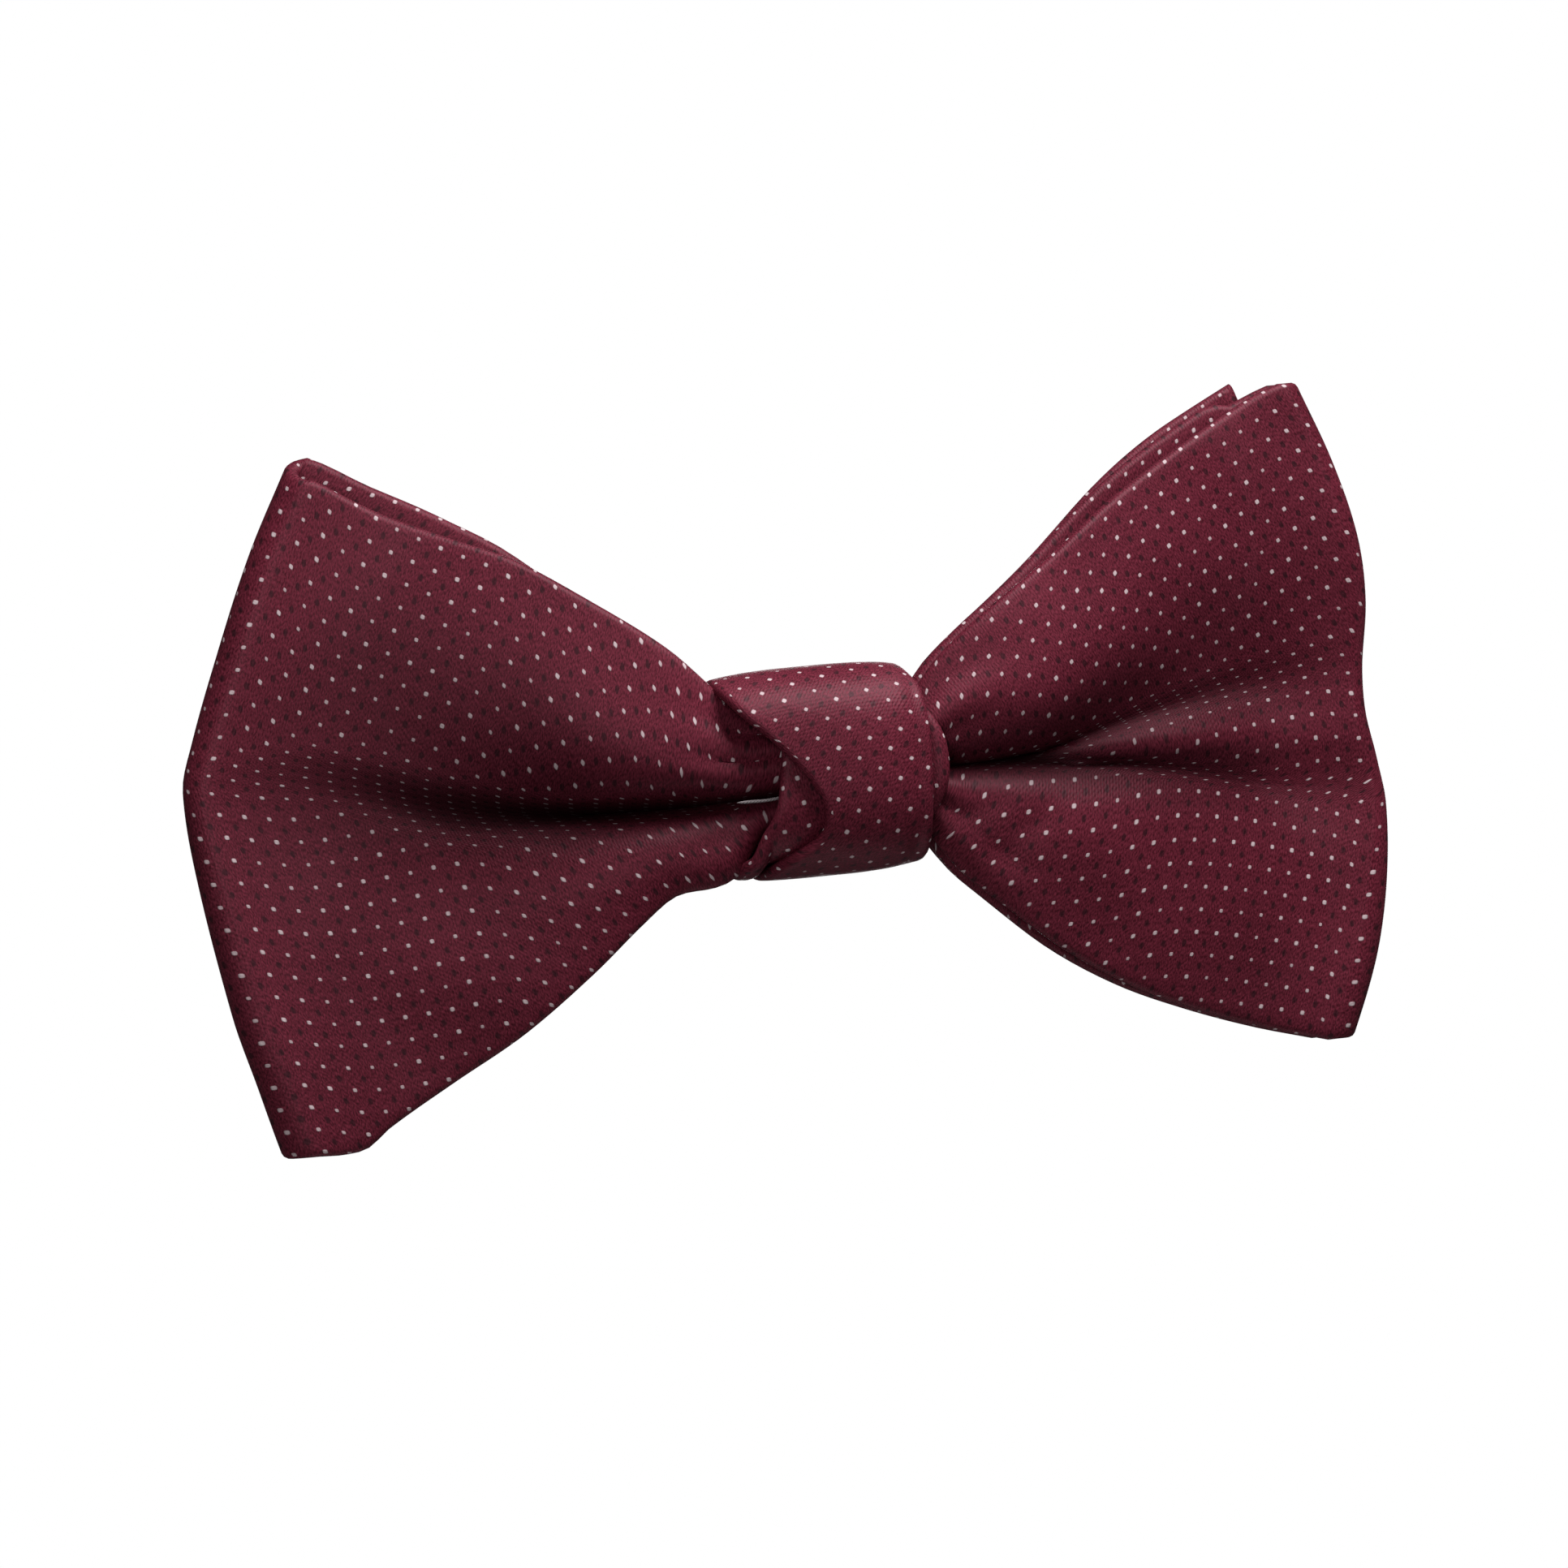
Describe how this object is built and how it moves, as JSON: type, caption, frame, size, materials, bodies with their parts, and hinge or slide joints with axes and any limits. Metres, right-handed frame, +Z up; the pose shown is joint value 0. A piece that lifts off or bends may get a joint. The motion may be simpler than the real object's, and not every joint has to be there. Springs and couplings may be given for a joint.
{
  "type": "bow tie",
  "caption": "Clip-on bow tie: a folded front bow over a rear bow, gathered in a wrapped knot, on a plate whose sprung jaws grip the collar.",
  "frame": {"origin": "centre of the rear face of the clip plate's raised pad, where it rests against the collar", "axes": "+X to the right seen from the front, +Z up, +Y backwards into the collar; the bow faces -Y"},
  "size_m": [0.1201, 0.0258, 0.0663],
  "materials": {
    "face_cloth": "satin weave with pin dots",
    "interlining_felt": "matt felt",
    "sewing_thread": "twisted polyester",
    "gathering_thread": "twisted polyester, pale",
    "clip_steel": "bright nickel plate",
    "spring_wire": "drawn wire"
  },
  "bodies": {
    "tie": {"front_bow_shell": "face_cloth", "front_bow_interlining": "interlining_felt", "rear_bow_shell": "face_cloth", "rear_bow_interlining": "interlining_felt", "knot_wrap": "face_cloth", "knot_under_wrap": "face_cloth", "gather_thread": "gathering_thread", "front_bow_end_seam": "sewing_thread", "wrap_seam_thread": "sewing_thread", "clip_stitch_right": "sewing_thread", "clip_stitch_left": "sewing_thread", "clip_plate": "clip_steel", "clip_pin_right": "clip_steel", "clip_pin_left": "clip_steel", "clip_spring_right": "spring_wire", "clip_spring_left": "spring_wire"},
    "jaw_right": {"clip_jaw_right": "clip_steel"},
    "jaw_left": {"clip_jaw_left": "clip_steel"}
  },
  "joints": [
    {"name": "jaw_right_hinge", "type": "hinge", "parent": "tie", "child": "jaw_right", "pos_m": [0.01, 0.0022, 0], "axis": [0, 0, 1], "range_deg": [0, 30], "stiffness_Nm_per_rad": 0.03, "springref_deg": -28.65, "deforming": ["clip_spring_right"]},
    {"name": "jaw_left_hinge", "type": "hinge", "parent": "tie", "child": "jaw_left", "pos_m": [-0.01, 0.0022, 0], "axis": [0, 0, -1], "range_deg": [0, 30], "stiffness_Nm_per_rad": 0.03, "springref_deg": -28.65, "deforming": ["clip_spring_left"]}
  ]
}
